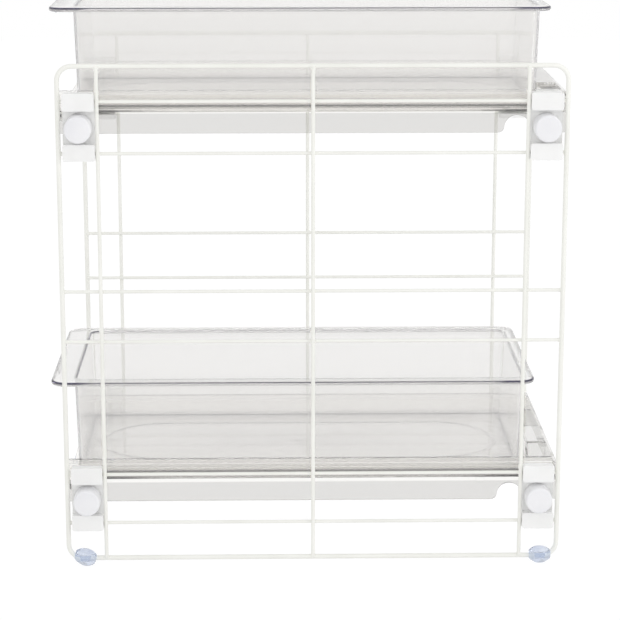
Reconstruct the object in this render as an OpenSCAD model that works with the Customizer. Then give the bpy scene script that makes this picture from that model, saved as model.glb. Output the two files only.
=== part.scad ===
// Under-sink organizer. Two welded wire panels stand upright and carry two clear trays,
// and a clear bin slides in each tray. Eight screw clamps hold the trays on pairs of rungs.
// Millimetres, +Z up. The bins pull out towards -X, and Y runs from the near panel to the far one.
// The origin is on the floor, under the middle of the whole object.

/* [Side panels] */
// Length of a panel, between the centres of its end wires
panel_length = 415; // [340:1:500]
// Height of a panel, between the centres of its top and bottom wires
panel_height = 419; // [345:1:505]
// Distance between the two panels, between wire centres
panel_spacing = 248.6; // [205:0.2:300]
// Diameter of the rim wire
rim_wire = 4; // [3:0.1:5]
// Diameter of the upright wires
upright_wire = 3.2; // [2.4:0.1:4]
// Diameter of the rungs
rung_wire = 2.8; // [2.2:0.1:3.4]
// Radius of the rim wire's corner bends, at the wire's centre
corner_bend = 12; // [9:0.5:20]
// Distance from the rim to the outer uprights, between wire centres
upright_inset = 32; // [31.5:0.5:45]
// Height of the lowest rung above the bottom wire
first_rung = 31; // [26:0.5:45]
// Distance from the highest rung to the top wire
top_margin = 28.9; // [20:0.1:45]
// Distance between the two rungs of a pair
pair_gap = 42.7; // [38:0.1:52]
// How far welded wires sink into each other
weld_sink = 0.3; // [0.1:0.05:0.5]

/* [Feet] */
// Length of a foot along the wire
foot_length = 18.5; // [15:0.5:24]
// Diameter of a foot at its middle
foot_diameter = 15; // [12:0.5:18]
// Diameter of a foot at its ends
foot_end = 7.2; // [6.4:0.2:9]
// Height of the bottom wire's centre above the floor
foot_drop = 6.2; // [5:0.1:7.5]
// Distance from a foot's middle to the panel's end
foot_inset = 14; // [12:0.5:30]
// Tilt of the near front foot, which rides up on the bend
foot_tilt = 15; // [0:1:18]

/* [Trays] */
// Distance from a panel's wire plane to a tray's side wall
side_gap = 15.4; // [12:0.1:20]
// How far a tray is longer than a panel
tray_over = 1; // [0:0.5:4]
// Height of the side rails above the clamped rung
rail_rise = 5.5; // [3:0.1:9]
// Width of the side rails
rail_width = 13.6; // [12:0.1:16]
// Depth of the tray's floor below the clamped rung
floor_drop = 9.5; // [8:0.1:11]
// Depth of the skirts below the clamped rung
skirt_drop = 28.4; // [27:0.1:32]
// Wall thickness of a tray
tray_wall = 2.2; // [1.6:0.1:3]
// Thickness of the tray's floor
tray_floor = 2.5; // [2:0.1:3.5]
// Length of the rear stop box along the slide
stop_length = 19.6; // [12:0.1:30]
// Width of the rear stop box
stop_width = 102; // [60:1:140]
// Height of the ribs that guide a bin's bottom edges
guide_height = 4; // [2:0.5:5]
// Width of the arch cut in a skirt beside the rear clamp
arch_width = 21; // [16:0.5:24]
// Height of the arch above the skirt's lower edge
arch_height = 14.6; // [12:0.2:15.5]
// Distance from the arch's middle to the panel's rear end
arch_inset = 39.5; // [36:0.5:60]

/* [Bins] */
// Width left between the rims of a bin and the panels' wire planes
rim_gap = 26.1; // [22:0.1:34]
// Height of a bin, from its bottom to the top of its rim
bin_height = 82.5; // [60:0.5:110]
// Thickness of a bin's walls, rim and floor
bin_wall = 2; // [1.4:0.1:2.6]
// Lean of the walls in degrees, for moulding
bin_draft = 1.6; // [1:0.1:2.2]
// Radius of a bin's upright corners at the rim
bin_corner = 9; // [7:0.5:16]
// Radius of the rim's outer corners
rim_corner = 14; // [8:0.5:20]
// Width of the rim at the pull side
front_lip = 19.3; // [14:0.1:28]
// Width of the rim at the rear
rear_lip = 8.3; // [5:0.1:14]
// Width of the rim at the sides
side_lip = 11.5; // [8:0.1:14]
// Depth of the turned-down edge of the rim
rim_edge = 3.5; // [2.5:0.1:5]
// Width of the deeper finger grip under the front rim
grip_width = 84; // [50:1:120]
// Depth of the finger grip below the top of the rim
grip_depth = 10; // [7:0.5:15]
// How far a closed bin stands out past the panel's front end
front_overhang = 6.6; // [3:0.1:12]
// How far the lower bin is drawn from its stop at rest
lower_bin_out = 8.4; // [1:0.1:20]
// How far the upper bin is drawn from its stop at rest
upper_bin_out = 1.9; // [1:0.1:20]

/* [Clamps] */
// Width of a clamp bracket
bracket_width = 26.4; // [25:0.1:28]
// How far the bracket's blocks stand in front of the wire plane
block_front = 5; // [4:0.1:8]
// Height of the upper block above the clamped rung
block_rise = 7.2; // [5:0.1:10]
// Depth of the upper block below the clamped rung
block_fall = 7.3; // [5:0.1:8]
// Height of the lower block above its rung
low_block_rise = 8.2; // [6:0.1:9]
// Depth of the lower block below its rung
low_block_fall = 5.6; // [4:0.1:7]
// Diameter of a knob
knob_diameter = 22.8; // [18:0.2:24]
// How far a knob stands in front of the wire plane
knob_front = 13.5; // [11:0.5:20]
// Diameter of the clamp stud
stud_diameter = 5; // [4:0.5:6]
// Clearance on radius between the stud and its nut
stud_fit = 0.05; // [0.02:0.01:0.1]
// Clearance on radius where the stud passes bracket and tray
stud_clear = 0.3; // [0.2:0.05:0.6]

/* [Hidden] */
$fn = 64;

// Which side, end and tier a repeated piece belongs to
near = -1;
far = 1;
front = -1;
rear = 1;
lower = 0;
upper = 2;

// Small clearance between faces that only rest or slide on each other
rest_gap = 0.3;
// Overlap that makes neighbouring solids of one piece join
join = 0.01;
// How far a cutting shape reaches past the surface that it cuts
cut = 1;

// Wires
wire_white = [0.95, 0.95, 0.92];
half_length = panel_length / 2;
pair_pitch = (panel_height - first_rung - top_margin - pair_gap) / 2;
upright_x = half_length - upright_inset;
bottom_z = foot_drop;
// Depth of the flat under a foot, and the foot's play on its wire
foot_flat = 0.4;
foot_fit = 0.05;
// The rungs lie inside the uprights, and both meet the rim near its middle
rung_lap = 0.15;
cross_space = (upright_wire + rung_wire) / 2 - weld_sink;
rung_in = rung_wire / 2 - rung_lap;
upright_out = cross_space - rung_in;

// Heights: pair 0 is the lowest, and each tier is clamped to the upper rung of its pair
function pair_low_z(pair) = bottom_z + first_rung + pair * pair_pitch;
function clamp_z(pair) = pair_low_z(pair) + pair_gap;

// Bins
bin_width = panel_spacing - 2 * rim_gap;
bin_base_z = rest_gap - floor_drop;
bin_top = bin_base_z + bin_height;
bin_chamfer = 3;
foot_in = 2;
// The rim's turned-down edge is a little thinner than its top
edge_wall = bin_wall * 0.9;
// The raised track and the round gate mark on a bin's floor
track_end = 16;
track_side = 31.2;
track_line = 1.6;
track_rise = 0.6;
gate_rise = 0.4;
gate_radius = 2.6;
closed_front = half_length + front_overhang;
// How far a wall leans over a height, to a hundredth of a millimetre
function lean(height) = round(100 * height * tan(bin_draft)) / 100;

// Trays
clear_plastic = [0.86, 0.86, 0.86, 0.5];
tray_half = half_length + tray_over / 2;
tray_half_width = panel_spacing / 2 - side_gap;
rail_inner = tray_half_width - rail_width;
stop_x = tray_half - stop_length;
stop_to_top = bin_top - rail_rise;
// The rear wall of a closed bin meets the stop box, whose top edge it touches first
closed_wall_x = stop_x + lean(stop_to_top);
bin_length = closed_wall_x + rear_lip + closed_front;
guide_wall = 2;
guide_gap = 0.5;
bin_foot_half = bin_width / 2 - side_lip - lean(bin_height);
arch_x = half_length - arch_inset;
arch_fillet = 5;
// A small catch on the skirt's outer face
catch_x = half_length - 68;
catch_size = [7, 0.8, 5.5];
catch_below = 3.5;

// The origin in X is under the middle of the whole object, which the lower bin's rim makes longer
front_end = closed_front + lower_bin_out;
rear_end = max(half_length + rim_wire / 2, tray_half);
middle_x = (front_end - rear_end) / 2;

// Clamps
bracket_white = [0.94, 0.94, 0.95];
// A bracket stands beside the outer upright
upright_gap = 0.4;
bracket_x = upright_x + upright_wire / 2 + upright_gap + bracket_width / 2;
wire_clear = 0.15;
knob_z = -pair_gap / 2;
knob_radius = knob_diameter / 2;
// The bracket's body lies just behind the rungs, and the blocks are rooted in it
rung_gap = 0.4;
block_root = 0.6;
body_front = rung_in + rung_wire / 2 + rung_gap;
block_back = body_front + block_root;
block_corner = 2;
bracket_foot = pair_gap + low_block_fall;
// Thickness of a knob in front of its stud, and the radius of its face's edge
knob_skin = 3;
knob_edge = 1.5;
nut_flats = 8;
nut_thick = 4;
stud_proud = 1;
stud_end = side_gap + tray_wall + nut_thick + stud_proud;

// What is drawn for the near side, mirrored for the far side
module mirrored_y(side) {
    if (side == near) children();
    else mirror([0, 1, 0]) children();
}

// What is drawn for the rear end, mirrored for the front end
module mirrored_x(end) {
    if (end == rear) children();
    else mirror([1, 0, 0]) children();
}

// Places a piece that is drawn on the near panel: Y = 0 is the wire plane and +Y points inwards
module on_panel(side) {
    translate([middle_x, 0, 0])
        mirrored_y(side)
            translate([0, -panel_spacing / 2, 0])
                children();
}

// Places a piece of a tier: Z = 0 is the rung that carries the tier's clamps
module on_tier(pair) {
    translate([middle_x, 0, clamp_z(pair)]) children();
}

// Places a clamp's piece: X = 0 is the bracket's middle, Z = 0 is the clamped rung
module on_clamp(pair, side, end) {
    on_panel(side)
        translate([0, 0, clamp_z(pair)])
            mirrored_x(end)
                translate([bracket_x, 0, 0])
                    children();
}

module wire_along_x(length, diameter) {
    rotate([0, 90, 0]) cylinder(h = length, d = diameter, center = true);
}

// The closed rim, standing in the XZ plane with its bottom wire at Z = bottom_z
module rim_loop(diameter) {
    straight_x = panel_length - 2 * corner_bend;
    straight_z = panel_height - 2 * corner_bend;
    middle_z = bottom_z + panel_height / 2;
    translate([0, 0, middle_z]) {
        for (high = [-1, 1])
            translate([0, 0, high * panel_height / 2])
                wire_along_x(straight_x, diameter);
        for (end = [front, rear])
            translate([end * half_length, 0, 0])
                cylinder(h = straight_z, d = diameter, center = true);
        for (corner = [0:3])
            rotate([0, -90 * corner, 0])
                rim_bend(corner % 2 == 0 ? straight_x / 2 : straight_z / 2,
                         corner % 2 == 0 ? straight_z / 2 : straight_x / 2, diameter);
    }
}

// A quarter bend whose centre is at (x, z) in the XZ plane
module rim_bend(x, z, diameter) {
    translate([x, 0, z])
        rotate([90, 0, 0])
            rotate_extrude(angle = 90)
                translate([corner_bend, 0])
                    circle(d = diameter);
}

module rim(side) {
    color(wire_white) on_panel(side) rim_loop(rim_wire);
}

// Three uprights, on the outside of the rungs
module uprights(side) {
    length = panel_height - rim_wire + 2 * weld_sink;
    color(wire_white)
        on_panel(side)
            for (x = [-upright_x, 0, upright_x])
                translate([x, -upright_out, bottom_z + panel_height / 2])
                    cylinder(h = length, d = upright_wire, center = true);
}

// Three pairs of rungs, from one end of the rim to the other
module rungs(side) {
    length = panel_length - rim_wire + 2 * weld_sink;
    color(wire_white)
        on_panel(side)
            for (pair = [0:2], high = [0, pair_gap])
                translate([0, rung_in, pair_low_z(pair) + high])
                    wire_along_x(length, rung_wire);
}

// A soft barrel-shaped foot, threaded on the bottom wire and flat where it stands
module foot(side, end, tilt) {
    bulge = (foot_diameter - foot_end) / 2;
    arc = (foot_length * foot_length / 4 + bulge * bulge) / (2 * bulge);
    color([0.75, 0.82, 0.92, 0.8])
        on_panel(side)
            difference() {
                translate([end * (half_length - foot_inset), 0, foot_diameter / 2 - foot_flat])
                    rotate([0, 90 + tilt, 0])
                        rotate_extrude()
                            intersection() {
                                translate([foot_diameter / 2 - arc, 0]) circle(arc);
                                translate([0, -foot_length / 2]) square([foot_diameter, foot_length]);
                            }
                rim_loop(rim_wire + 2 * foot_fit);
                translate([end * half_length, 0, -foot_diameter])
                    cube([4 * foot_length, 2 * foot_diameter, 2 * foot_diameter], center = true);
            }
}

// Outline of a side skirt with its arch, drawn with X along the tray and Y up
module skirt_outline() {
    height = rail_rise + skirt_drop;
    radius = arch_width / 2;
    difference() {
        translate([-tray_half, -skirt_drop]) square([2 * tray_half, height]);
        translate([arch_x, arch_height - skirt_drop - radius]) circle(radius);
        translate([arch_x - radius, -skirt_drop - cut])
            square([arch_width, arch_height - radius + cut]);
        for (edge = [-1, 1])
            translate([arch_x + edge * (radius + arch_fillet), -skirt_drop])
                arch_corner(edge);
    }
}

// The rounded lower corner beside the arch
module arch_corner(edge) {
    difference() {
        translate([edge > 0 ? -arch_fillet - cut : 0, -cut])
            square([arch_fillet + cut, arch_fillet + cut]);
        translate([0, arch_fillet]) circle(arch_fillet);
    }
}

// One side of a tray: the skirt, the hollow rail and the guide rib, with Y = 0 at the outer face
module tray_side() {
    top = rail_rise - tray_wall;
    difference() {
        translate([0, tray_wall, 0])
            rotate([90, 0, 0])
                linear_extrude(tray_wall)
                    skirt_outline();
        for (end = [front, rear])
            translate([end * bracket_x, -cut, knob_z])
                rotate([-90, 0, 0])
                    cylinder(h = tray_wall + 2 * cut, r = stud_diameter / 2 + stud_clear);
    }
    translate([-tray_half, 0, top])
        cube([2 * tray_half, rail_width, tray_wall]);
    translate([-tray_half, rail_width - tray_wall, -floor_drop - tray_floor])
        cube([2 * tray_half, tray_wall, rail_rise + floor_drop + tray_floor]);
    translate([-tray_half, tray_half_width - bin_foot_half - guide_gap - guide_wall, -floor_drop - join])
        cube([tray_half + stop_x, guide_wall, guide_height + join]);
    translate([catch_x, join - catch_size[1], -floor_drop - catch_below])
        cube(catch_size);
}

// The floor between the rails, with the pocket of the stop box left open from below
module tray_floor_plate() {
    difference() {
        translate([-tray_half, -rail_inner - join, -floor_drop - tray_floor])
            cube([2 * tray_half, 2 * (rail_inner + join), tray_floor]);
        translate([stop_x + tray_wall, -stop_width / 2 + tray_wall, -floor_drop - tray_floor - cut])
            cube([stop_length - 2 * tray_wall, stop_width - 2 * tray_wall, tray_floor + 2 * cut]);
    }
}

// The rear wall and the hollow box that stops the bin
module tray_stop() {
    rise = rail_rise + floor_drop;
    translate([tray_half - tray_wall, -tray_half_width + join, -floor_drop - tray_floor])
        cube([tray_wall, 2 * (tray_half_width - join), rise + tray_floor]);
    difference() {
        translate([stop_x, -stop_width / 2, -floor_drop - join])
            cube([stop_length, stop_width, rise + join]);
        translate([stop_x + tray_wall, -stop_width / 2 + tray_wall, -floor_drop - cut])
            cube([stop_length - 2 * tray_wall, stop_width - 2 * tray_wall, rise + cut - tray_wall]);
    }
}

// A short lip that stiffens the open front edge of the floor
module tray_front_lip() {
    lip = 6;
    translate([-tray_half, -tray_half_width + join, -floor_drop - tray_floor - lip])
        cube([tray_wall, 2 * (tray_half_width - join), lip + tray_floor]);
}

module tray(pair) {
    color(clear_plastic)
        on_tier(pair) {
            for (side = [near, far])
                mirrored_y(side)
                    translate([0, -tray_half_width, 0])
                        tray_side();
            tray_floor_plate();
            tray_stop();
            tray_front_lip();
        }
}

// A plate with rounded corners from x0 to x1, as wide as 2 * half, drawn flat
module rounded_plate(x0, x1, half, radius) {
    translate([x0 + radius, -half]) square([x1 - x0 - 2 * radius, 2 * half]);
    translate([x0, radius - half]) square([x1 - x0, 2 * (half - radius)]);
    for (x = [x0 + radius, x1 - radius], y = [radius - half, half - radius])
        translate([x, y]) circle(radius);
}

// A box whose walls lean out towards its open top, with a chamfered foot.
// It is made of a middle, two ends and four quarter-round corners that meet face to face.
module drafted_box(x0, x1, half, height, radius) {
    lean_body = lean(height - bin_chamfer);
    wall_line = [[lean_body + foot_in, 0], [lean_body, bin_chamfer], [0, height]];
    right_side = [for (point = wall_line) [half - point[0], point[1]]];
    left_side = [for (i = [2:-1:0]) [wall_line[i][0] - half, wall_line[i][1]]];
    corner_line = [for (point = wall_line) [radius - point[0], point[1]]];
    end_line = concat([[0, 0]], corner_line, [[0, height]]);
    translate([x0 + radius, 0, 0])
        rotate([90, 0, 90])
            linear_extrude(x1 - x0 - 2 * radius)
                polygon(concat(right_side, left_side));
    for (end = [front, rear])
        translate([end == rear ? x1 - radius : x0 + radius, 0, 0])
            mirrored_x(end) {
                rotate([90, 0, 0])
                    linear_extrude(2 * (half - radius), center = true)
                        polygon(end_line);
                for (side = [near, far])
                    mirrored_y(side)
                        translate([0, radius - half, 0])
                            rotate([0, 0, -90])
                                rotate_extrude(angle = 90)
                                    polygon(end_line);
            }
}

// A flat track: a straight piece with two round ends
module track(half_straight, radius) {
    square([2 * half_straight, 2 * radius], center = true);
    for (x = [-half_straight, half_straight])
        translate([x, 0]) circle(radius);
}

// A bin, drawn with X = 0 at the top of its rear wall and Z = 0 at its bottom
module bin(pair, out) {
    rim_front = rear_lip - bin_length;
    wall_front = rim_front + front_lip;
    half = bin_width / 2 - side_lip;
    // The hollow's cutter reaches past the rim, and its walls lean on up to there
    over = 2;
    color([0.9, 0.9, 0.93, 0.45])
        on_tier(pair)
            translate([closed_wall_x - out, 0, bin_base_z]) {
                difference() {
                    union() {
                        drafted_box(wall_front, 0, half, bin_height - bin_wall / 2, bin_corner);
                        rim_plate(rim_front);
                        rim_skirt(rim_front);
                    }
                    translate([0, 0, bin_wall])
                        drafted_box(wall_front + bin_wall - lean(over), lean(over) - bin_wall,
                                    half - bin_wall + lean(over), bin_height - bin_wall + over,
                                    bin_corner - bin_wall + lean(over));
                }
                front_grip(rim_front);
                translate([wall_front / 2, 0, bin_wall]) {
                    floor_ring(-wall_front / 2 - track_end, half - track_side);
                    cylinder(h = gate_rise, r = gate_radius);
                }
            }
}

// A low ring on a bin's floor, shaped like a running track of the given half length
module floor_ring(half_track, radius) {
    linear_extrude(track_rise)
        difference() {
            track(half_track - radius, radius);
            track(half_track - radius, radius - track_line);
        }
}

// The flat rim
module rim_plate(rim_front) {
    translate([0, 0, bin_height - bin_wall])
        linear_extrude(bin_wall)
            rounded_plate(rim_front, rear_lip, bin_width / 2, rim_corner);
}

// The turned-down edge all round the rim, below its flat top
module rim_skirt(rim_front) {
    translate([0, 0, bin_height - rim_edge])
        linear_extrude(rim_edge - bin_wall)
            difference() {
                rounded_plate(rim_front, rear_lip, bin_width / 2, rim_corner);
                rounded_plate(rim_front + edge_wall, rear_lip - edge_wall,
                              bin_width / 2 - edge_wall, rim_corner - edge_wall);
            }
}

// The deeper grip under the middle of the front rim
module front_grip(rim_front) {
    translate([rim_front, -grip_width / 2, bin_height - grip_depth])
        cube([edge_wall, grip_width, grip_depth - rim_edge]);
}

// One block of a bracket, with rounded corners, from z0 to z1
module bracket_block(z0, z1) {
    translate([0, block_back, 0])
        rotate([90, 0, 0])
            linear_extrude(block_back + block_front)
                translate([0, (z0 + z1) / 2])
                    rounded_plate(-bracket_width / 2, bracket_width / 2, (z1 - z0) / 2, block_corner);
}

// The channel that lets a bracket be pushed over a rung from outside
module wire_channel(z) {
    radius = rung_wire / 2 + wire_clear;
    translate([0, rung_in, z]) wire_along_x(bracket_width + 2 * cut, 2 * radius);
    translate([-bracket_width / 2 - cut, rung_in, z - radius])
        cube([bracket_width + 2 * cut, side_gap, 2 * radius]);
}

// A clamp bracket: two blocks in front of the rungs, and a body that reaches the tray
module bracket(pair, side, end) {
    body_top = -rung_wire / 2 - wire_clear;
    color(bracket_white)
        on_clamp(pair, side, end)
            difference() {
                union() {
                    translate([-bracket_width / 2, body_front, -bracket_foot])
                        cube([bracket_width, side_gap - body_front, bracket_foot + body_top + join]);
                    bracket_block(-block_fall, block_rise);
                    bracket_block(-bracket_foot, low_block_rise - pair_gap);
                }
                wire_channel(0);
                wire_channel(-pair_gap);
                translate([0, -block_front - cut, knob_z])
                    rotate([-90, 0, 0])
                        cylinder(h = side_gap + block_front + 2 * cut, r = stud_diameter / 2 + stud_clear);
            }
}

// A smooth round knob with a rounded edge, moulded on its stud
module knob(pair, side, end) {
    back = body_front - rest_gap;
    depth = knob_front + back;
    color(bracket_white)
        on_clamp(pair, side, end)
            translate([0, back, knob_z])
                rotate([90, 0, 0])
                    rotate_extrude()
                        difference() {
                            union() {
                                square([knob_radius, depth - knob_edge]);
                                square([knob_radius - knob_edge, depth]);
                                translate([knob_radius - knob_edge, depth - knob_edge]) circle(knob_edge);
                            }
                            translate([0, -cut]) square([stud_diameter / 2, depth - knob_skin + cut]);
                        }
}

// The plain round stud that runs from the knob into the nut
module stud(pair, side, end) {
    head = knob_front - knob_skin;
    color([0.7, 0.7, 0.72])
        on_clamp(pair, side, end)
            translate([0, -head, knob_z])
                rotate([-90, 0, 0])
                    cylinder(h = head + stud_end, d = stud_diameter);
}

// Eight nuts behind the trays' side walls
module clamp_nuts() {
    color([0.7, 0.7, 0.72])
        for (pair = [lower, upper], side = [near, far], end = [front, rear])
            on_clamp(pair, side, end)
                translate([0, side_gap + tray_wall, knob_z])
                    rotate([-90, 0, 0])
                        difference() {
                            cylinder(h = nut_thick, d = nut_flats / cos(30), $fn = 6);
                            translate([0, 0, -cut])
                                cylinder(h = nut_thick + 2 * cut, r = stud_diameter / 2 + stud_fit);
                        }
}

rim(near);  // near_rim
uprights(near);  // near_uprights
rungs(near);  // near_rungs
rim(far);  // far_rim
uprights(far);  // far_uprights
rungs(far);  // far_rungs
foot(near, front, foot_tilt);  // foot_near_front
foot(near, rear, 0);  // foot_near_rear
foot(far, front, 0);  // foot_far_front
foot(far, rear, 0);  // foot_far_rear
tray(lower);  // lower_tray
tray(upper);  // upper_tray
bin(lower, lower_bin_out);  // lower_bin
bin(upper, upper_bin_out);  // upper_bin
bracket(lower, near, front);  // bracket_lower_near_front
bracket(lower, near, rear);  // bracket_lower_near_rear
bracket(lower, far, front);  // bracket_lower_far_front
bracket(lower, far, rear);  // bracket_lower_far_rear
bracket(upper, near, front);  // bracket_upper_near_front
bracket(upper, near, rear);  // bracket_upper_near_rear
bracket(upper, far, front);  // bracket_upper_far_front
bracket(upper, far, rear);  // bracket_upper_far_rear
knob(lower, near, front);  // knob_lower_near_front
knob(lower, near, rear);  // knob_lower_near_rear
knob(lower, far, front);  // knob_lower_far_front
knob(lower, far, rear);  // knob_lower_far_rear
knob(upper, near, front);  // knob_upper_near_front
knob(upper, near, rear);  // knob_upper_near_rear
knob(upper, far, front);  // knob_upper_far_front
knob(upper, far, rear);  // knob_upper_far_rear
stud(lower, near, front);  // stud_lower_near_front
stud(lower, near, rear);  // stud_lower_near_rear
stud(lower, far, front);  // stud_lower_far_front
stud(lower, far, rear);  // stud_lower_far_rear
stud(upper, near, front);  // stud_upper_near_front
stud(upper, near, rear);  // stud_upper_near_rear
stud(upper, far, front);  // stud_upper_far_front
stud(upper, far, rear);  // stud_upper_far_rear
clamp_nuts();
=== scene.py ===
import math

import bmesh
import bpy
from mathutils import Matrix, Vector


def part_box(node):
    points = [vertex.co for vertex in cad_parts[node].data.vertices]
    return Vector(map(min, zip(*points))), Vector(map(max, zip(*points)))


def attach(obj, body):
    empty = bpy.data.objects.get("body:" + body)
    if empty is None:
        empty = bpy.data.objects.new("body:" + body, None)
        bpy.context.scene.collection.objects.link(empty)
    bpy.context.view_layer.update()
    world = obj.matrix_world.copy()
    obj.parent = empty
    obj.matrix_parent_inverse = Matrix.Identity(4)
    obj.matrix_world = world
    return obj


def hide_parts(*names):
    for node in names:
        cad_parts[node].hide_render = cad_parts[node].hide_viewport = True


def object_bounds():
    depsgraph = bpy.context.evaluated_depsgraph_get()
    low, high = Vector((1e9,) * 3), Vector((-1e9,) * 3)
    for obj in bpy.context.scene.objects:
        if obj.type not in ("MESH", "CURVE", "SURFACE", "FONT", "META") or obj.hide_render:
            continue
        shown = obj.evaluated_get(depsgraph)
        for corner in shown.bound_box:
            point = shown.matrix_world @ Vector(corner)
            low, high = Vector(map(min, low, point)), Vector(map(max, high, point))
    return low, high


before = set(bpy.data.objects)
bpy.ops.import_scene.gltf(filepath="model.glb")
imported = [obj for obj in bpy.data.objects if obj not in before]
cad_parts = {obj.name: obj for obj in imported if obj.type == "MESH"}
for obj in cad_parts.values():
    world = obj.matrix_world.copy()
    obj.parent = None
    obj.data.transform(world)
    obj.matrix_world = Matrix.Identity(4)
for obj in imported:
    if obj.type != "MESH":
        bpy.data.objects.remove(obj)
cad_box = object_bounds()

MM = 0.001
SIDES = ("near", "far")
ENDS = ("front", "rear")
TIERS = ("lower", "upper")

# Wires, as in the CAD parts
RIM_RADIUS = 2 * MM
UPRIGHT_RADIUS = 1.6 * MM
RUNG_RADIUS = 1.4 * MM
CORNER_BEND = 12 * MM
UPRIGHT_INSET = 32 * MM
PAIR_GAP = 42.7 * MM

# Trays
TRAY_EDGE = 0.5 * MM
TRAY_FLOOR = 2.5 * MM
FLOOR_BELOW_RAIL = 15 * MM
# Where the painted dark lines at the tray's floor lie across it, how high they reach, and where they fade out along
# it
GUIDE_IN = 83.5 * MM
GUIDE_OUT = 88 * MM
LINE_RISE = 1.4 * MM
INNER_WALL_OUT = 99 * MM
LINE_FADE = [120 * MM, 130 * MM, 140 * MM, 150 * MM, 160 * MM]
# How much painted shade the tray's skirt, rear walls and rails' tops get, from 0 to 1
PAINTED_SKIRT_SHADE = 0.22
PAINTED_REAR_SHADE = 0.18
PAINTED_RAIL_SHADE = 0.1
STOP_LENGTH = 19.6 * MM

# Bins
FRONT_LIP = 19.3 * MM
REAR_LIP = 8.3 * MM
SIDE_LIP = 11.5 * MM
BIN_WALL = 2 * MM
WALL_SLOPE = math.tan(math.radians(1.6))
BIN_CORNER = 9 * MM
RIM_CORNER = 14 * MM
RIM_EDGE = 3.5 * MM
EDGE_WALL = 1.8 * MM
GRIP_HALF = 42 * MM
GRIP_DEPTH = 10 * MM
TRACK_END = 16 * MM
TRACK_SIDE = 31.2 * MM

# Clamps
STUD_RADIUS = 2.5 * MM
KNOB_SKIN = 3 * MM


def linear(code):
    """The linear RGBA of an sRGB hex colour."""
    parts = [int(code[i:i + 2], 16) / 255 for i in (0, 2, 4)]
    return [p / 12.92 if p <= 0.04045 else ((p + 0.055) / 1.055) ** 2.4 for p in parts] + [1]


def add(tree, kind, inputs=None, **settings):
    """Adds a node with its settings. An input is a value, or another node's socket that is linked."""
    node = tree.nodes.new(kind)
    for name, value in settings.items():
        setattr(node, name, value)
    for key, value in (inputs or {}).items():
        if isinstance(value, bpy.types.NodeSocket):
            tree.links.new(value, node.inputs[key])
        else:
            node.inputs[key].default_value = value
    return node


def new_material(name):
    material = bpy.data.materials.new(name)
    material.use_nodes = True
    material.node_tree.nodes.clear()
    return material, material.node_tree


def ramp(tree, factor, stops):
    """A colour ramp of (position, sRGB hex) stops."""
    node = add(tree, "ShaderNodeValToRGB", {"Fac": factor})
    while len(node.color_ramp.elements) < len(stops):
        node.color_ramp.elements.new(0.5)
    for element, (position, code) in zip(node.color_ramp.elements, stops):
        element.position = position
        element.color = linear(code)
    return node.outputs["Color"]


def noise(tree, size, detail=2.0, **more):
    """Noise whose blotches are about the given size in metres, fixed to the piece."""
    place = add(tree, "ShaderNodeTexCoord").outputs["Object"]
    return add(tree, "ShaderNodeTexNoise", {"Vector": place, "Scale": 1 / size, "Detail": detail, **more})


def surface(tree, shader):
    add(tree, "ShaderNodeOutputMaterial", {"Surface": shader.outputs[0]})


def powder_coated_wire():
    """Polyester powder coat baked on steel wire: warm white and satin, with faint orange peel."""
    material, tree = new_material("powder_coated_steel_wire")
    shade = ramp(tree, noise(tree, 40 * MM).outputs["Fac"], [(0.3, "F0F0EA"), (0.7, "F7F7F2")])
    # Real orange peel is about 0.5 mm across. It is drawn at 0.9 mm, the finest that shows
    peel = noise(tree, 0.9 * MM, 1.0)
    bump = add(tree, "ShaderNodeBump", {"Height": peel.outputs["Fac"], "Strength": 0.25,
                                        "Distance": 0.05 * MM})
    surface(tree, add(tree, "ShaderNodeBsdfPrincipled", {
        "Base Color": shade, "Roughness": 0.42, "Normal": bump.outputs["Normal"]}))
    return material


def moulded_white(name, light, dark, roughness):
    """Injection-moulded white polypropylene or ABS: even and opaque, with a fine spark-eroded grain."""
    material, tree = new_material(name)
    shade = ramp(tree, noise(tree, 25 * MM).outputs["Fac"], [(0.3, dark), (0.7, light)])
    # The mould's grain is about 0.1 mm. It is drawn at 0.6 mm so that it shows
    grain = noise(tree, 0.6 * MM, 3.0)
    bump = add(tree, "ShaderNodeBump", {"Height": grain.outputs["Fac"], "Strength": 0.15,
                                        "Distance": 0.03 * MM})
    surface(tree, add(tree, "ShaderNodeBsdfPrincipled", {
        "Base Color": shade, "Roughness": roughness, "IOR": 1.5, "Subsurface Weight": 0.35,
        "Subsurface Radius": (0.004, 0.004, 0.004), "Normal": bump.outputs["Normal"]}))
    return material


def lit_through(tree, shader, tint):
    """Lets light on its way to other pieces through clear plastic, which would else throw a solid shadow."""
    path = add(tree, "ShaderNodeLightPath").outputs
    light = add(tree, "ShaderNodeMath", {0: path["Is Shadow Ray"], 1: path["Is Diffuse Ray"]},
                operation="MAXIMUM")
    clear = add(tree, "ShaderNodeBsdfTransparent", {"Color": linear(tint)})
    return add(tree, "ShaderNodeMixShader", {
        0: light.outputs["Value"], 1: shader.outputs["BSDF"], 2: clear.outputs["BSDF"]})


def clear_polystyrene(name, body, edge, clearness, roughness):
    """Injection-moulded clear polystyrene: polished, with a grey veil of dust and scattered light.
    It gets a painted shade where light runs along an edge, which darkens its colour towards the edge colour."""
    material, tree = new_material(name)
    along = add(tree, "ShaderNodeAttribute", attribute_name="painted_edge_shade").outputs["Fac"]
    # The attribute holds painted shade, from 0 for the body colour to 1 for the dark edge colour
    shade = ramp(tree, along, [(0.0, body), (1.0, edge)])
    # Flow in the mould leaves long, shallow waves, some 30 mm apart
    flow = noise(tree, 30 * MM, 1.0)
    bump = add(tree, "ShaderNodeBump", {"Height": flow.outputs["Fac"], "Strength": 0.2, "Distance": 0.08 * MM})
    plastic = add(tree, "ShaderNodeBsdfPrincipled", {
        "Base Color": shade, "Roughness": roughness, "IOR": 1.45, "Transmission Weight": clearness,
        "Normal": bump.outputs["Normal"]})
    surface(tree, lit_through(tree, plastic, "FDFDFD"))
    return material


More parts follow.
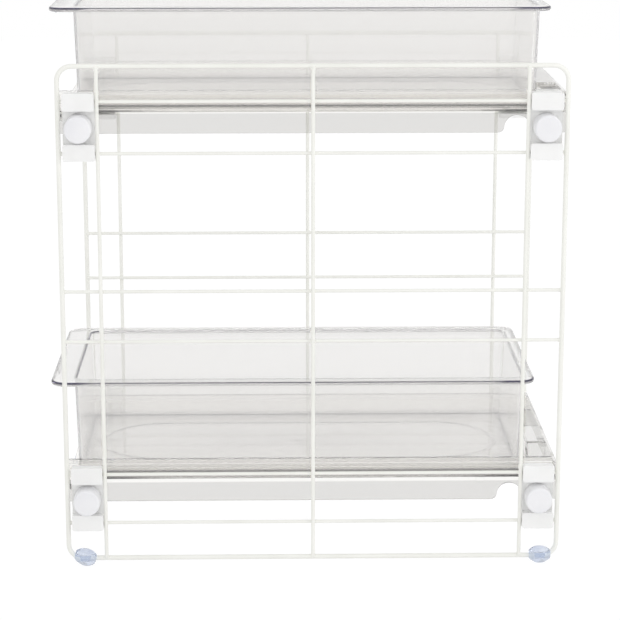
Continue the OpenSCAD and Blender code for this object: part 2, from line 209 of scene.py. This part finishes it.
def soft_vinyl():
    """Soft bluish clear PVC: cloudy inside, with a greasy gloss and softly uneven skin."""
    material, tree = new_material("soft_clear_vinyl")
    cloud = noise(tree, 5 * MM, 2.0)
    shade = ramp(tree, cloud.outputs["Fac"], [(0.3, "CFD7E8"), (0.7, "E9EEF7")])
    dents = noise(tree, 4 * MM, 1.0)
    bump = add(tree, "ShaderNodeBump", {"Height": dents.outputs["Fac"], "Strength": 0.3, "Distance": 0.5 * MM})
    vinyl = add(tree, "ShaderNodeBsdfPrincipled", {
        "Base Color": shade, "Roughness": 0.16, "IOR": 1.5, "Transmission Weight": 0.8,
        "Normal": bump.outputs["Normal"]})
    surface(tree, lit_through(tree, vinyl, "E6ECF8"))
    return material


def zinc_plated_steel():
    """Bright zinc plating on small steel parts: pale grey metal with a faint cloudy bloom."""
    material, tree = new_material("zinc_plated_steel")
    cloud = noise(tree, 2 * MM, 3.0)
    shade = ramp(tree, cloud.outputs["Fac"], [(0.35, "B9BCC0"), (0.65, "D2D5D8")])
    rough = add(tree, "ShaderNodeMapRange", {"Value": cloud.outputs["Fac"], "To Min": 0.25, "To Max": 0.42})
    surface(tree, add(tree, "ShaderNodeBsdfPrincipled", {
        "Base Color": shade, "Metallic": 1.0, "Roughness": rough.outputs["Result"]}))
    return material


WIRE = powder_coated_wire()
BRACKET = moulded_white("moulded_white_bracket", "F9F9F8", "F3F3F2", 0.42)
KNOB = moulded_white("moulded_white_knob", "F3F3F5", "EDEDF0", 0.3)
# The second colour of each clear plastic is the dark end of its painted edge shade
TRAY = clear_polystyrene("clear_polystyrene_tray", "FAF9F7", "262428", 0.96, 0.01)
BIN = clear_polystyrene("clear_polystyrene_bin", "F4F3F2", "2A2640", 0.79, 0.02)
VINYL = soft_vinyl()
ZINC = zinc_plated_steel()


def finished(obj, body, nodes, material=None):
    """Gives a piece its material, puts it under its body, and hides the CAD nodes that it stands for."""
    if material:
        obj.data.materials.clear()
        obj.data.materials.append(material)
    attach(obj, body)
    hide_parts(*nodes)
    return obj


def new_object(name, mesh):
    obj = bpy.data.objects.new(name, mesh)
    bpy.context.scene.collection.objects.link(obj)
    return obj


def plain_mesh(obj):
    """Turns an object's modifiers into a plain mesh."""
    result = bpy.data.meshes.new_from_object(obj.evaluated_get(bpy.context.evaluated_depsgraph_get()))
    obj.modifiers.clear()
    obj.data = result
    result.name = obj.name
    return obj


def rounded(obj, width, segments=2):
    """Rounds the sharp edges, keeps the flat faces flat to the light, and makes the result plain."""
    bevel = obj.modifiers.new("edge_rounding", "BEVEL")
    bevel.width = width
    bevel.segments = segments
    bevel.limit_method = "ANGLE"
    bevel.angle_limit = math.radians(35)
    bevel.harden_normals = False
    obj.data.polygons.foreach_set("use_smooth", [True] * len(obj.data.polygons))
    weighted = obj.modifiers.new("flat_faces", "WEIGHTED_NORMAL")
    weighted.keep_sharp = True
    return plain_mesh(obj)


# Wire panels

def wire_panel_tree():
    """One welded panel: a rounded rim, uprights, pairs of rungs, and a bead of weld where they meet."""
    tree = bpy.data.node_groups.new("welded_wire_panel", "GeometryNodeTree")
    for name in ("Length", "Height", "Bend", "Rim Radius", "Upright Radius", "Upright Place", "Upright Out",
                 "Rung Radius", "Rung In", "First Rung", "Pair Gap", "Pair Pitch"):
        tree.interface.new_socket(name=name, in_out="INPUT", socket_type="NodeSocketFloat")
    tree.interface.new_socket(name="Middle", in_out="INPUT", socket_type="NodeSocketVector")
    tree.interface.new_socket(name="Coat", in_out="INPUT", socket_type="NodeSocketMaterial")
    tree.interface.new_socket(name="Geometry", in_out="OUTPUT", socket_type="NodeSocketGeometry")
    given = add(tree, "NodeGroupInput").outputs

    def place(x=0.0, y=0.0, z=0.0):
        return add(tree, "ShaderNodeCombineXYZ", {"X": x, "Y": y, "Z": z}).outputs["Vector"]

    def times(a, b):
        return add(tree, "ShaderNodeMath", {0: a, 1: b}, operation="MULTIPLY").outputs["Value"]

    def less(a, b):
        return add(tree, "ShaderNodeMath", {0: a, 1: b}, operation="SUBTRACT").outputs["Value"]

    def swept(curve, radius, sides):
        circle = add(tree, "GeometryNodeCurvePrimitiveCircle", {"Resolution": sides, "Radius": radius})
        return add(tree, "GeometryNodeCurveToMesh", {
            "Curve": curve, "Profile Curve": circle.outputs["Curve"], "Fill Caps": True}).outputs["Mesh"]

    def copies(points, instance):
        spread = add(tree, "GeometryNodeInstanceOnPoints", {"Points": points, "Instance": instance})
        return add(tree, "GeometryNodeRealizeInstances", {
            "Geometry": spread.outputs["Instances"]}).outputs["Geometry"]

    def row(count, start, step):
        return add(tree, "GeometryNodeMeshLine", {
            "Count": count, "Start Location": start, "Offset": step}).outputs["Mesh"]

    half_length = times(given["Length"], 0.5)
    half_height = times(given["Height"], 0.5)

    outline = add(tree, "GeometryNodeCurvePrimitiveQuadrilateral", {
        "Width": given["Length"], "Height": given["Height"]}, mode="RECTANGLE")
    bends = add(tree, "GeometryNodeFilletCurve", {
        "Curve": outline.outputs["Curve"], "Count": 14, "Radius": given["Bend"]}, mode="POLY")
    upright_plane = add(tree, "GeometryNodeTransform", {
        "Geometry": bends.outputs["Curve"], "Rotation": (math.pi / 2, 0.0, 0.0)})
    rim = swept(upright_plane.outputs["Geometry"], given["Rim Radius"], 24)

    # Six rung heights are three pairs, and each rung runs from rim to rim
    lowest = less(given["First Rung"], half_height)
    pairs = row(3, place(y=given["Rung In"], z=lowest), place(z=given["Pair Pitch"]))
    heights = copies(pairs, row(2, place(), place(z=given["Pair Gap"])))
    rung_line = add(tree, "GeometryNodeCurvePrimitiveLine", {
        "Start": place(x=times(less(half_length, given["Rim Radius"]), -1.0)),
        "End": place(x=less(half_length, given["Rim Radius"]))})
    rungs = copies(heights, swept(rung_line.outputs["Curve"], given["Rung Radius"], 20))

    columns = row(3, place(x=times(given["Upright Place"], -1.0), y=given["Upright Out"]),
                  place(x=given["Upright Place"]))
    upright_line = add(tree, "GeometryNodeCurvePrimitiveLine", {
        "Start": place(z=times(less(half_height, given["Rim Radius"]), -1.0)),
        "End": place(z=less(half_height, given["Rim Radius"]))})
    uprights = copies(columns, swept(upright_line.outputs["Curve"], given["Upright Radius"], 20))

    # Squashed beads of weld metal under the coat, where rungs cross uprights and where both meet the rim
    bead = add(tree, "GeometryNodeMeshUVSphere", {"Segments": 16, "Rings": 10, "Radius": 1.0}).outputs["Mesh"]
    small = add(tree, "GeometryNodeTransform", {
        "Geometry": bead, "Scale": (2.1 * MM, 1.7 * MM, 2.1 * MM)}).outputs["Geometry"]
    long_bead = add(tree, "GeometryNodeTransform", {
        "Geometry": bead, "Scale": (2.6 * MM, 1.5 * MM, 1.7 * MM)}).outputs["Geometry"]
    tall_bead = add(tree, "GeometryNodeTransform", {
        "Geometry": bead, "Scale": (1.9 * MM, 1.5 * MM, 2.6 * MM)}).outputs["Geometry"]
    flat_columns = row(3, place(x=times(given["Upright Place"], -1.0), y=times(given["Rung In"], -1.0)),
                       place(x=given["Upright Place"]))
    crossings = copies(flat_columns, heights)
    rim_reach = less(half_length, given["Rim Radius"])
    rung_ends = copies(row(2, place(x=times(rim_reach, -1.0)), place(x=times(rim_reach, 2.0))), heights)
    top_reach = less(half_height, given["Rim Radius"])
    upright_ends = copies(columns, row(2, place(z=times(top_reach, -1.0)), place(z=times(top_reach, 2.0))))

    joined = add(tree, "GeometryNodeJoinGeometry")
    for part in (rim, rungs, uprights, copies(crossings, small), copies(rung_ends, long_bead),
                 copies(upright_ends, tall_bead)):
        tree.links.new(part, joined.inputs["Geometry"])
    moved = add(tree, "GeometryNodeTransform", {
        "Geometry": joined.outputs["Geometry"], "Translation": given["Middle"]})
    smooth = add(tree, "GeometryNodeSetShadeSmooth", {"Geometry": moved.outputs["Geometry"]})
    real = add(tree, "GeometryNodeRealizeInstances", {"Geometry": smooth.outputs["Geometry"]})
    coated = add(tree, "GeometryNodeSetMaterial", {
        "Geometry": real.outputs["Geometry"], "Material": given["Coat"]})
    add(tree, "NodeGroupOutput", {"Geometry": coated.outputs["Geometry"]})
    return tree


def wire_panel(side, tree):
    rim_low, rim_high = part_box(f"{side}_rim")
    rung_low, rung_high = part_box(f"{side}_rungs")
    upright_low, upright_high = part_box(f"{side}_uprights")
    middle = (rim_low + rim_high) / 2
    height = rim_high.z - rim_low.z - 2 * RIM_RADIUS
    first_rung = rung_low.z + RUNG_RADIUS - rim_low.z - RIM_RADIUS
    last_rung = rung_high.z - RUNG_RADIUS - rim_low.z - RIM_RADIUS
    sizes = {
        "Length": rim_high.x - rim_low.x - 2 * RIM_RADIUS,
        "Height": height,
        "Bend": CORNER_BEND,
        "Rim Radius": RIM_RADIUS,
        "Upright Radius": UPRIGHT_RADIUS,
        "Upright Place": (upright_high.x - upright_low.x) / 2 - UPRIGHT_RADIUS,
        "Upright Out": (upright_low.y + upright_high.y) / 2 - middle.y,
        "Rung Radius": RUNG_RADIUS,
        "Rung In": (rung_low.y + rung_high.y) / 2 - middle.y,
        "First Rung": first_rung,
        "Pair Gap": PAIR_GAP,
        "Pair Pitch": (last_rung - first_rung - PAIR_GAP) / 2,
        "Middle": middle,
        "Coat": WIRE,
    }
    panel = new_object(f"{side}_wire_panel", bpy.data.meshes.new(f"{side}_wire_panel"))
    modifier = panel.modifiers.new("wires", "NODES")
    modifier.node_group = tree
    for item in tree.interface.items_tree:
        if item.in_out == "INPUT":
            modifier[item.identifier] = sizes[item.name]
    plain_mesh(panel)
    finished(panel, "frame", [f"{side}_rim", f"{side}_rungs", f"{side}_uprights"])


# Bins

CORNER_STEPS = 10
LONG_STEPS = 36
SHORT_STEPS = 56


def rounded_loop(x0, x1, half, radius, z):
    """A rounded rectangle, starting after the front near corner, with as many points at any size."""
    centres = [(x1 - radius, radius - half), (x1 - radius, half - radius),
               (x0 + radius, half - radius), (x0 + radius, radius - half)]
    starts = [-math.pi / 2, 0, math.pi / 2, math.pi]
    points = []
    last = centres[3]
    last_angle = starts[3] + math.pi / 2
    for (cx, cy), start, steps in zip(centres, starts, [LONG_STEPS, SHORT_STEPS] * 2):
        begin = Vector((last[0] + radius * math.cos(last_angle), last[1] + radius * math.sin(last_angle), z))
        end = Vector((cx + radius * math.cos(start), cy + radius * math.sin(start), z))
        points += [begin.lerp(end, i / steps) for i in range(1, steps)]
        points += [Vector((cx + radius * math.cos(start + math.pi / 2 * i / CORNER_STEPS),
                           cy + radius * math.sin(start + math.pi / 2 * i / CORNER_STEPS), z))
                   for i in range(CORNER_STEPS + 1)]
        last, last_angle = (cx, cy), start + math.pi / 2
    return points


def lofted(name, loops, painted_shades):
    """A closed skin through loops of equal length, shut with a flat face at both ends, with a painted shade value for
    each point.
    """
    mesh = bpy.data.meshes.new(name)
    work = bmesh.new()
    tint = work.verts.layers.float.new("painted_edge_shade")
    rings = []
    for loop, values in zip(loops, painted_shades):
        ring = [work.verts.new(p) for p in loop]
        for v, value in zip(ring, values):
            v[tint] = value
        rings.append(ring)
    for a, b in zip(rings, rings[1:]):
        for i in range(len(a)):
            j = (i + 1) % len(a)
            work.faces.new((a[i], a[j], b[j], b[i]))
    bmesh.ops.remove_doubles(work, verts=work.verts, dist=0.002 * MM)
    for ring in (rings[0], rings[-1]):
        work.faces.new([v for v in ring if v.is_valid])
    bmesh.ops.recalc_face_normals(work, faces=work.faces)
    work.to_mesh(mesh)
    work.free()
    return mesh


def quarter(start, end, steps=4):
    """Shares of a quarter turn as (sine, one less cosine) pairs, from start to end in degrees."""
    angles = [math.radians(start + (end - start) * i / steps) for i in range(steps + 1)]
    return [(math.sin(a), 1 - math.cos(a)) for a in angles]


def grip_share(y):
    """How deep the grip is at a place across the front rim, from 0 to 1."""
    ramp_width = 7 * MM
    share = min(max((GRIP_HALF - abs(y)) / ramp_width, 0), 1)
    return share * share * (3 - 2 * share)


def clear_bin(node, name):
    """A drafted bin with round corners, a flat rim that turns down all round, and a grip in front."""
    low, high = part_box(node)
    height = high.z - low.z
    middle_y = (low.y + high.y) / 2
    rim_half = (high.y - low.y) / 2
    wall_half = rim_half - SIDE_LIP
    loops, painted_shades = [], []

    def put(points, tint):
        """Adds a loop. The tint, which is painted shade, is a number, or a function that gives it for each point."""
        loops.append([p + Vector((0, middle_y, low.z)) for p in points])
        painted_shades.append([tint(p) if callable(tint) else tint for p in points])

    def rim_painted_shade(p):
        """Painted shade on the rim's crown: the near edge is painted dark where nothing clear backs it, at both ends,
        and the other edges get a pale painted shade.
        """
        near_edge = p.y < RIM_CORNER - rim_half
        unbacked = p.x < low.x + FRONT_LIP + 6 * MM or p.x > high.x - 32 * MM
        if near_edge and unbacked:
            return 1.0
        height_share = (p.z - height + crown) / crown
        return (0.95 if 0.2 < height_share < 0.8 else 0.25) if near_edge else 0.12

    crown = 1.1 * MM

    def mouth_painted_shade(p):
        """The front wall's top edge is painted as a dark line of shade, and the other walls' edges as faint painted
        lines.
        """
        if p.x < low.x + FRONT_LIP + BIN_CORNER:
            return 0.9
        return 0.45 if p.y < 0 else 0.2

    def grip_painted_shade(p):
        """The grip's lip gets a darker painted shade where the grip is deep, standing in for the lip seen edge on
        through its whole width.
        """
        return 0.1 + 0.7 * grip_share(p.y) if p.x < low.x + RIM_CORNER / 2 else 0.1

    def corner_painted_shade(p):
        """Painted shade: the upright corners are painted as dark lines where they turn to the end walls, most of all
        the near ones.
        """
        in_corner = abs(p.y) > wall_half - BIN_CORNER - 3 * MM
        lean = WALL_SLOPE * (height - p.z)
        off_end = min(p.x - low.x - FRONT_LIP - lean, high.x - REAR_LIP - lean - p.x)
        if not in_corner or not 0.05 * MM < off_end < 0.5 * MM:
            return 0.0
        return 0.75 if p.y < 0 else 0.2

    def wall(z, inset, tint=0.0):
        """A loop on the wall's outer face at height z, or inset from it."""
        back = WALL_SLOPE * (height - z) + inset
        put(rounded_loop(low.x + FRONT_LIP + back, high.x - REAR_LIP - back, wall_half - back,
                         max(BIN_CORNER - back, 0.5 * MM), z), tint)

    def rim(inset, z, tint=0.0, depth=0.0):
        """A loop on the rim, inset from its outer line, and lower by the grip's depth in front."""
        points = rounded_loop(low.x + inset, high.x - inset, rim_half - inset, RIM_CORNER - inset, z)
        for p in points:
            if depth and p.x < low.x + RIM_CORNER / 2:
                p.z -= depth * grip_share(p.y)
        put(points, tint)

    def track(inset, z, tint=0.0):
        """A loop on the floor, shaped like a running track."""
        front = low.x + FRONT_LIP + TRACK_END + inset
        rear = high.x - REAR_LIP - TRACK_END - inset
        radius = wall_half - TRACK_SIDE - inset
        put(rounded_loop(front, rear, radius, radius, z), tint)

    def gate(radius, rise):
        """A loop round the mark that the mould's gate leaves in the middle of the floor, with a faint painted shade.
        """
        middle = Vector((centre_x, 0, 0))
        points = [(Vector(p) - Vector((0, middle_y, low.z))) for p in loops[-1]]
        flat = [Vector((p.x, p.y, 0)) - middle for p in points]
        put([middle + d.normalized() * radius + Vector((0, 0, BIN_WALL + rise)) for d in flat], 0.2)

    fillet = 3.2 * MM
    centre_x = (low.x + FRONT_LIP + high.x - REAR_LIP) / 2
    # Outside: the floor, its rounded edge, the wall, and the fillet under the rim
    # The tint given with each loop is painted shade, from 0 to 1; the floor's rounded edge is painted as a dark line
    wall(0.0, fillet * 2, 0.0)
    for s, c in quarter(0, 90, 6):
        wall(fillet * c, fillet * (1 - s), 1.0 if 0.3 < s < 0.8 else 0.1)
    for share in (0.05, 0.5, 0.94):
        wall(fillet + (height - fillet - BIN_WALL) * share, 0.0, corner_painted_shade)
    under = 1.2 * MM
    for s, c in quarter(0, 90, 3):
        wall(height - BIN_WALL - under * (1 - s), -under * c, 0.1)
    # The rim's underside, its turned-down edge and its top
    grip = GRIP_DEPTH - RIM_EDGE
    rim(EDGE_WALL + 0.8 * MM, height - BIN_WALL, 0.0)
    rim(EDGE_WALL, height - BIN_WALL - 0.8 * MM, 0.2)
    lip = EDGE_WALL / 2
    rim(EDGE_WALL, height - RIM_EDGE + lip, grip_painted_shade, grip)
    for s, c in quarter(0, 90, 3):
        rim(EDGE_WALL - lip * c, height - RIM_EDGE + lip * (1 - s), grip_painted_shade, grip)
    for s, c in quarter(90, 0, 3):
        rim(lip * c, height - RIM_EDGE + lip * (1 - s), grip_painted_shade, grip)
    for s, c in quarter(0, 90, 4):
        rim(crown * c, height - crown * (1 - s), rim_painted_shade)
    rim(crown + 0.4 * MM, height, 0.05)
    rim(crown + 2.5 * MM, height, 0.0)
    # Inside: the rim's inner rounding, the wall and the floor with its raised track
    inner = 1.6 * MM
    wall(height, BIN_WALL - inner - 1.0 * MM, 0.0)
    for s, c in quarter(0, 90, 4):
        wall(height - inner * c, BIN_WALL - inner * (1 - s), mouth_painted_shade if 0.3 < s < 0.95 else 0.05)
    for share in (0.94, 0.5, 0.06):
        wall(fillet + (height - fillet) * share, BIN_WALL)
    inside = 2.6 * MM
    for s, c in quarter(90, 0):
        wall(BIN_WALL + inside * c, BIN_WALL + inside * (1 - s), 0.2)
    rise = 0.6 * MM
    line = 1.6 * MM
    track(-2.5 * MM, BIN_WALL)
    track(-0.5 * MM, BIN_WALL)
    # The raised track's top is outlined with a faint painted shade
    track(0.0, BIN_WALL + rise, 0.15)
    track(line, BIN_WALL + rise, 0.15)
    track(line + 0.5 * MM, BIN_WALL)
    track(line + 2.5 * MM, BIN_WALL)
    for r, z in ((4.5 * MM, 0.0), (2.7 * MM, 0.0), (2.4 * MM, 0.35 * MM), (1.2 * MM, 0.35 * MM)):
        gate(r, z)

    obj = new_object(name, lofted(name, loops, painted_shades))
    obj.data.polygons.foreach_set("use_smooth", [True] * len(obj.data.polygons))
    weighted = obj.modifiers.new("flat_faces", "WEIGHTED_NORMAL")
    weighted.keep_sharp = True
    plain_mesh(obj)
    return finished(obj, node, [node], BIN)


# Pieces whose shape the CAD part gives, with their edges rounded

def clean_copy(node, name):
    """A copy of a CAD node whose loose triangles are merged into whole flat faces."""
    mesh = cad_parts[node].data.copy()
    mesh.name = name
    work = bmesh.new()
    work.from_mesh(mesh)
    bmesh.ops.remove_doubles(work, verts=work.verts, dist=0.005 * MM)
    bmesh.ops.dissolve_limit(work, angle_limit=math.radians(0.5), verts=work.verts, edges=work.edges)
    work.to_mesh(mesh)
    work.free()
    return new_object(name, mesh)


def tray_painted_shade(face_middle, narrow, normal, levels):
    """How much painted shade a face of the tray gets: its narrow edges, the lines that light draws at its floor, its
    skirt, its rails' tops, and the walls that crowd together at its rear."""
    middle_x, middle_y, floor_top, under, top, stop = levels
    across = abs(face_middle.y - middle_y)
    upright = abs(normal.y) > 0.9
    if narrow:
        return 0.8
    if upright and face_middle.z < under:
        return PAINTED_SKIRT_SHADE
    if upright and GUIDE_IN < across < GUIDE_OUT and face_middle.z < floor_top + LINE_RISE:
        return 0.95
    if upright and GUIDE_OUT < across < INNER_WALL_OUT and face_middle.z < under + LINE_RISE:
        return min(max((abs(face_middle.x - middle_x) - LINE_FADE[0]) / (LINE_FADE[-1] - LINE_FADE[0]), 0), 1)
    if face_middle.x > stop - 0.5 * MM and face_middle.z > under:
        return PAINTED_REAR_SHADE
    if normal.z > 0.9 and face_middle.z > top - 1 * MM:
        return PAINTED_RAIL_SHADE
    return 0.0


def clear_tray(node, name):
    """A tray with rounded edges, cut where its painted shade changes. Narrow faces, where light runs along them, get
    a dark painted shade.
    """
    low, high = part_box(node)
    floor_top = high.z - FLOOR_BELOW_RAIL
    under = floor_top - TRAY_FLOOR
    middle_x, middle_y = (low.x + high.x) / 2, (low.y + high.y) / 2
    levels = (middle_x, middle_y, floor_top, under, high.z, high.x - STOP_LENGTH)
    obj = clean_copy(node, name)
    work = bmesh.new()
    work.from_mesh(obj.data)
    level, end = Vector((0, 0, 1)), Vector((1, 0, 0))
    cuts = [(Vector((0, 0, z)), level) for z in (under, under + LINE_RISE, floor_top + LINE_RISE)]
    cuts += [(Vector((middle_x + side * x, 0, 0)), end) for side in (-1, 1) for x in LINE_FADE]
    for place, normal in cuts:
        everything = work.verts[:] + work.edges[:] + work.faces[:]
        bmesh.ops.bisect_plane(work, geom=everything, plane_co=place, plane_no=normal, dist=0.01 * MM)
    work.to_mesh(obj.data)
    work.free()
    rounded(obj, TRAY_EDGE)
    mesh = obj.data
    # Each face's painted shade, from 0 to 1, darkens the clear plastic towards its edge colour
    tint = mesh.attributes.new("painted_edge_shade", "FLOAT", "FACE")
    for face in mesh.polygons:
        slanted = sorted(abs(c) for c in face.normal)[1] > 0.2
        corners = [mesh.vertices[i].co for i in face.vertices]
        narrowest = min((a - b).length for a, b in zip(corners, corners[1:] + corners[:1]))
        tint.data[face.index].value = tray_painted_shade(
            face.center, slanted and narrowest < TRAY_EDGE, face.normal, levels)
    return finished(obj, "frame", [node], TRAY)


def bracket(node, name):
    return finished(rounded(clean_copy(node, name), 0.5 * MM), "frame", [node], BRACKET)


def lathe(name, profile, origin, axis, segments=64):
    """A closed turned shape. The profile is (distance along the axis, radius) points, pole to pole."""
    mesh = bpy.data.meshes.new(name)
    work = bmesh.new()
    axis = axis.normalized()
    turn = axis.to_track_quat("Z", "Y").to_matrix()
    rings = []
    for along, radius in profile:
        if radius == 0:
            rings.append([work.verts.new(origin + axis * along)])
            continue
        angles = [2 * math.pi * i / segments for i in range(segments)]
        rings.append([work.verts.new(origin + turn @ Vector((radius * math.cos(a), radius * math.sin(a), along)))
                      for a in angles])
    for a, b in zip(rings, rings[1:]):
        for i in range(segments):
            j = (i + 1) % segments
            if len(a) == 1:
                work.faces.new((a[0], b[i], b[j]))
            elif len(b) == 1:
                work.faces.new((a[i], b[0], a[j]))
            else:
                work.faces.new((a[i], b[i], b[j], a[j]))
    bmesh.ops.recalc_face_normals(work, faces=work.faces)
    work.to_mesh(mesh)
    work.free()
    mesh.polygons.foreach_set("use_smooth", [True] * len(mesh.polygons))
    return new_object(name, mesh)


def knob(node, name, side):
    """A smooth round knob: drafted side, rounded edge, and a face that is slightly domed."""
    low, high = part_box(node)
    out = -1 if side == "near" else 1
    back = high.y if side == "near" else low.y
    depth = high.y - low.y
    radius = (high.z - low.z) / 2
    origin = Vector(((low.x + high.x) / 2, back, (low.z + high.z) / 2))
    edge = 1.7 * MM
    dome = 0.25 * MM
    draft = 0.25 * MM
    profile = [(depth - KNOB_SKIN, 0), (depth - KNOB_SKIN, STUD_RADIUS), (0.4 * MM, STUD_RADIUS),
               (0, STUD_RADIUS + 0.4 * MM), (0, radius - 0.8 * MM), (0.2 * MM, radius - 0.25 * MM),
               (0.8 * MM, radius)]
    profile += [(depth - dome - edge, radius - draft)]
    profile += [(depth - dome - edge * (1 - s), radius - draft - edge * c) for s, c in quarter(0, 84, 6)[1:]]
    face = radius - draft - edge
    profile += [(depth - dome * (share ** 2), face * share) for share in (0.9, 0.7, 0.4, 0.15)]
    profile += [(depth, 0)]
    obj = lathe(name, profile, origin, Vector((0, out, 0)))
    weighted = obj.modifiers.new("flat_faces", "WEIGHTED_NORMAL")
    weighted.keep_sharp = True
    plain_mesh(obj)
    return finished(obj, node, [node], KNOB)


# Feet

def foot(node, name):
    """A soft bead threaded on the wire, whose fine skin sinks a little in places, as dipped vinyl does."""
    obj = clean_copy(node, name)
    skin = obj.modifiers.new("fine_skin", "REMESH")
    skin.mode = "VOXEL"
    skin.voxel_size = 0.4 * MM
    skin.use_smooth_shade = True
    soft = obj.modifiers.new("soft_edges", "SMOOTH")
    soft.factor = 0.5
    soft.iterations = 6
    plain_mesh(obj)
    low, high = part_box(node)
    middle = (low + high) / 2
    for vertex in obj.data.vertices:
        away = vertex.co - middle
        wave = math.sin(away.x / (2.1 * MM) + 1.3) * math.sin(away.z / (2.6 * MM)) * math.cos(away.y / (2.3 * MM))
        sunk = 0.3 * MM * (0.5 + 0.5 * wave)
        if away.length > 4.5 * MM and vertex.co.z > low.z + 0.6 * MM:
            vertex.co -= away.normalized() * sunk
    obj.data.polygons.foreach_set("use_smooth", [True] * len(obj.data.polygons))
    return finished(obj, "frame", [node], VINYL)


def build_object():
    tree = wire_panel_tree()
    for side in SIDES:
        wire_panel(side, tree)
        for end in ENDS:
            foot(f"foot_{side}_{end}", f"vinyl_foot_{side}_{end}")
    for tier in TIERS:
        clear_tray(f"{tier}_tray", f"{tier}_clear_tray")
        clear_bin(f"{tier}_bin", f"{tier}_clear_bin")
        for side in SIDES:
            for end in ENDS:
                place = f"{tier}_{side}_{end}"
                bracket(f"bracket_{place}", f"clamp_bracket_{place}")
                knob(f"knob_{place}", f"clamp_knob_{place}", side)
                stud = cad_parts[f"stud_{place}"]
                stud.data.materials.clear()
                stud.data.materials.append(ZINC)
    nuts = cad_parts["clamp_nuts"]
    nuts.data.materials.clear()
    nuts.data.materials.append(ZINC)


# Floor, light and camera

def seen_rays(tree):
    """1 for rays from the camera, a mirror-like surface or clear plastic, and 0 for those that light."""
    path = add(tree, "ShaderNodeLightPath").outputs
    either = add(tree, "ShaderNodeMath", {0: path["Is Camera Ray"], 1: path["Is Glossy Ray"]},
                 operation="MAXIMUM")
    return add(tree, "ShaderNodeMath", {0: either.outputs["Value"], 1: path["Is Transmission Ray"]},
               operation="MAXIMUM").outputs["Value"]


def make_stage():
    """A plain white floor that keeps a faint shadow."""
    material, tree = new_material("white_studio_floor")
    paper = add(tree, "ShaderNodeBsdfDiffuse", {"Color": linear("F7F7F7")})
    glow = add(tree, "ShaderNodeEmission", {"Color": (1, 1, 1, 1), "Strength": 1.05})
    share = add(tree, "ShaderNodeMath", {0: seen_rays(tree), 1: 0.88}, operation="MULTIPLY")
    surface(tree, add(tree, "ShaderNodeMixShader", {
        0: share.outputs["Value"], 1: paper.outputs["BSDF"], 2: glow.outputs["Emission"]}))
    work = bmesh.new()
    bmesh.ops.create_circle(work, cap_ends=True, radius=4, segments=64)
    mesh = bpy.data.meshes.new("studio_floor")
    work.to_mesh(mesh)
    work.free()
    mesh.transform(Matrix.Translation((0, 0, cad_box[0].z - 0.2 * MM)))
    floor = new_object("studio_floor", mesh)
    floor.data.materials.append(material)


def make_world():
    """White behind the object, and a plain even light on it."""
    world = bpy.data.worlds.new("studio")
    world.use_nodes = True
    tree = world.node_tree
    tree.nodes.clear()
    seen = add(tree, "ShaderNodeBackground", {"Color": (1, 1, 1, 1), "Strength": 1.0})
    light = add(tree, "ShaderNodeBackground", {"Color": linear("FAFAFA"), "Strength": 0.86})
    mixed = add(tree, "ShaderNodeMixShader", {
        0: seen_rays(tree), 1: light.outputs["Background"], 2: seen.outputs["Background"]})
    add(tree, "ShaderNodeOutputWorld", {"Surface": mixed.outputs["Shader"]})
    bpy.context.scene.world = world


def soft_light(name, place, target, size, power):
    data = bpy.data.lights.new(name, "AREA")
    data.shape = "RECTANGLE"
    data.size, data.size_y = size
    data.energy = power
    lamp = bpy.data.objects.new(name, data)
    lamp.location = place
    lamp.rotation_euler = (Vector(target) - Vector(place)).to_track_quat("-Z", "Y").to_euler()
    bpy.context.scene.collection.objects.link(lamp)


def make_camera():
    """A long lens a little above the object, almost square to the near panel."""
    data = bpy.data.cameras.new("camera")
    data.lens = 126.2
    data.sensor_width = 36
    camera = bpy.data.objects.new("camera", data)
    camera.location = (-0.0299, -1.8795, 0.6394)
    camera.rotation_euler = (math.radians(90 - 13.369), 0, math.radians(-1.105))
    bpy.context.scene.collection.objects.link(camera)
    bpy.context.scene.camera = camera


def allow_deep_stacks():
    """Sight and light may cross every wall of a bin in its tray and be mirrored to and fro inside its floor,
    which is far more than the usual few."""
    paths = bpy.context.scene.cycles
    paths.max_bounces = 32
    paths.transmission_bounces = 32
    paths.glossy_bounces = 32
    paths.transparent_max_bounces = 64


make_camera()
make_world()
make_stage()
allow_deep_stacks()
soft_light("key_left", (-1.2, -1.9, 1.6), (0, 0, 0.2), (0.8, 0.8), 3.5)
soft_light("front_soft", (0.3, -2.6, 0.9), (0, 0, 0.25), (1.6, 1.2), 4)
soft_light("strip_right", (1.8, -1.2, 0.8), (0, 0, 0.25), (0.3, 1.6), 6)
bpy.context.scene.view_settings.view_transform = "Standard"
build_object()
